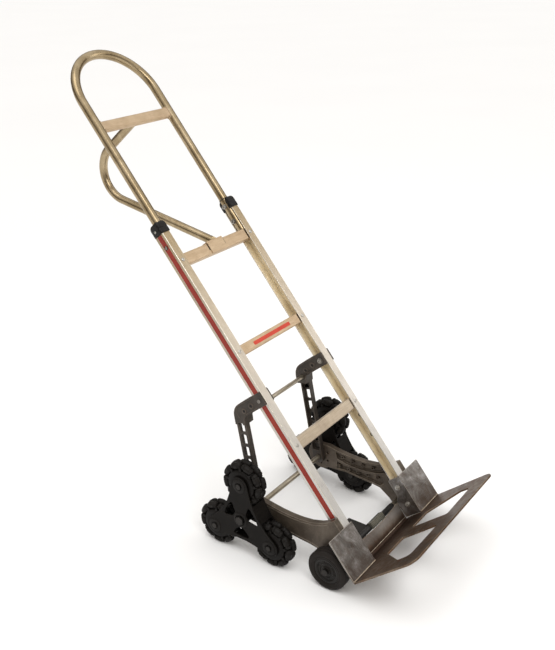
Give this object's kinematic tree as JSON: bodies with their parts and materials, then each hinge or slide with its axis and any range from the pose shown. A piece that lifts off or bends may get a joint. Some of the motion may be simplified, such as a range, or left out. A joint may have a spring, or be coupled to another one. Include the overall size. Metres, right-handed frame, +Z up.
{
  "type": "stair climbing trolley",
  "caption": "Upright two-rail hand truck with loop and D grips, windowed toe plate, small front wheels and a rotating three-wheel star on each side for climbing stairs.",
  "frame": {"origin": "floor level, under the centre of the bounding box, with the trolley leaning back on its wheels as it stands at rest", "axes": "+Z up, +Y towards the person who pushes it, -Y towards the toe plate, +X across towards the right side as seen from the front; it is nearly symmetric about x = 0"},
  "size_m": [0.4812, 1.1688, 1.2745],
  "materials": {
    "rail_alloy": "extruded, satin",
    "rail_strip": "dark red moulded strip",
    "black_plastic": "moulded black",
    "tube": "drawn tube, warm satin",
    "bar": "satin",
    "nose_steel": "bare steel, lightly rusted",
    "casting": "dark brown-grey casting",
    "zinc": "zinc plated",
    "rod": "drawn rod",
    "tyre": "solid rubber",
    "wheel_hub": "moulded dark grey",
    "star_black": "moulded black",
    "roller": "black roller rubber",
    "pedal": "black with a ridged tread"
  },
  "bodies": {
    "frame": {"rail_left": "rail_alloy", "rail_right": "rail_alloy", "rail_strip_left": "rail_strip", "rail_strip_right": "rail_strip", "rail_cap_left": "black_plastic", "rail_cap_right": "black_plastic", "loop_handle": "tube", "handle_crossbar": "bar", "d_grip_handle": "tube", "grip_saddle": "bar", "crossbar_upper": "bar", "crossbar_middle": "bar", "crossbar_lower": "bar", "handle_bolt_top_left": "zinc", "handle_bolt_top_right": "zinc", "handle_bolt_low_left": "zinc", "handle_bolt_low_right": "zinc", "toe_plate": "nose_steel", "nose_bracket_left": "nose_steel", "nose_bracket_right": "nose_steel", "nose_bolt_top_left": "zinc", "nose_bolt_top_right": "zinc", "nose_bolt_low_left": "zinc", "nose_bolt_low_right": "zinc", "support_leg_left": "casting", "support_leg_right": "casting", "leg_bolt_front_left": "zinc", "leg_bolt_front_right": "zinc", "tie_rod": "rod", "lower_arm_left": "casting", "lower_arm_right": "casting", "front_axle": "rod", "front_axle_nut_left": "zinc", "front_axle_nut_right": "zinc", "main_axle": "rod", "main_axle_nut_left": "zinc", "main_axle_nut_right": "zinc"},
    "star_left": {"star_frame_left": "star_black", "star_pin_top_left": "zinc", "star_pin_front_left": "zinc", "star_pin_rear_left": "zinc"},
    "star_wheel_top_left": {"star_wheel_top_left": "roller"},
    "star_wheel_front_left": {"star_wheel_front_left": "roller"},
    "star_wheel_rear_left": {"star_wheel_rear_left": "roller"},
    "front_wheel_left": {"front_tyre_left": "tyre", "front_wheel_hub_left": "wheel_hub"},
    "star_right": {"star_frame_right": "star_black", "star_pin_top_right": "zinc", "star_pin_front_right": "zinc", "star_pin_rear_right": "zinc"},
    "star_wheel_top_right": {"star_wheel_top_right": "roller"},
    "star_wheel_front_right": {"star_wheel_front_right": "roller"},
    "star_wheel_rear_right": {"star_wheel_rear_right": "roller"},
    "front_wheel_right": {"front_tyre_right": "tyre", "front_wheel_hub_right": "wheel_hub"},
    "pedal": {"foot_pedal": "pedal"}
  },
  "joints": [
    {"name": "star_turn_left", "type": "hinge", "parent": "frame", "child": "star_left", "pos_m": [-0.2073, -0.06972, 0.11553], "axis": [1, 0, 0], "continuous": true},
    {"name": "star_wheel_turn_top_left", "type": "hinge", "parent": "star_left", "child": "star_wheel_top_left", "pos_m": [-0.2073, -0.06972, 0.22159], "axis": [1, 0, 0], "continuous": true},
    {"name": "star_wheel_turn_front_left", "type": "hinge", "parent": "star_left", "child": "star_wheel_front_left", "pos_m": [-0.2073, -0.16157, 0.0625], "axis": [1, 0, 0], "continuous": true},
    {"name": "star_wheel_turn_rear_left", "type": "hinge", "parent": "star_left", "child": "star_wheel_rear_left", "pos_m": [-0.2073, 0.02213, 0.0625], "axis": [1, 0, 0], "continuous": true},
    {"name": "front_wheel_turn_left", "type": "hinge", "parent": "frame", "child": "front_wheel_left", "pos_m": [-0.205, -0.33303, 0.0567], "axis": [1, 0, 0], "continuous": true},
    {"name": "star_turn_right", "type": "hinge", "parent": "frame", "child": "star_right", "pos_m": [0.2073, -0.06972, 0.11553], "axis": [1, 0, 0], "continuous": true},
    {"name": "star_wheel_turn_top_right", "type": "hinge", "parent": "star_right", "child": "star_wheel_top_right", "pos_m": [0.2073, -0.06972, 0.22159], "axis": [1, 0, 0], "continuous": true},
    {"name": "star_wheel_turn_front_right", "type": "hinge", "parent": "star_right", "child": "star_wheel_front_right", "pos_m": [0.2073, -0.16157, 0.0625], "axis": [1, 0, 0], "continuous": true},
    {"name": "star_wheel_turn_rear_right", "type": "hinge", "parent": "star_right", "child": "star_wheel_rear_right", "pos_m": [0.2073, 0.02213, 0.0625], "axis": [1, 0, 0], "continuous": true},
    {"name": "front_wheel_turn_right", "type": "hinge", "parent": "frame", "child": "front_wheel_right", "pos_m": [0.205, -0.33303, 0.0567], "axis": [1, 0, 0], "continuous": true},
    {"name": "pedal_press", "type": "hinge", "parent": "frame", "child": "pedal", "pos_m": [0, -0.33303, 0.0567], "axis": [1, 0, 0], "range_deg": [0, 12], "stiffness_Nm_per_rad": 1.5, "springref_deg": -20.05}
  ]
}
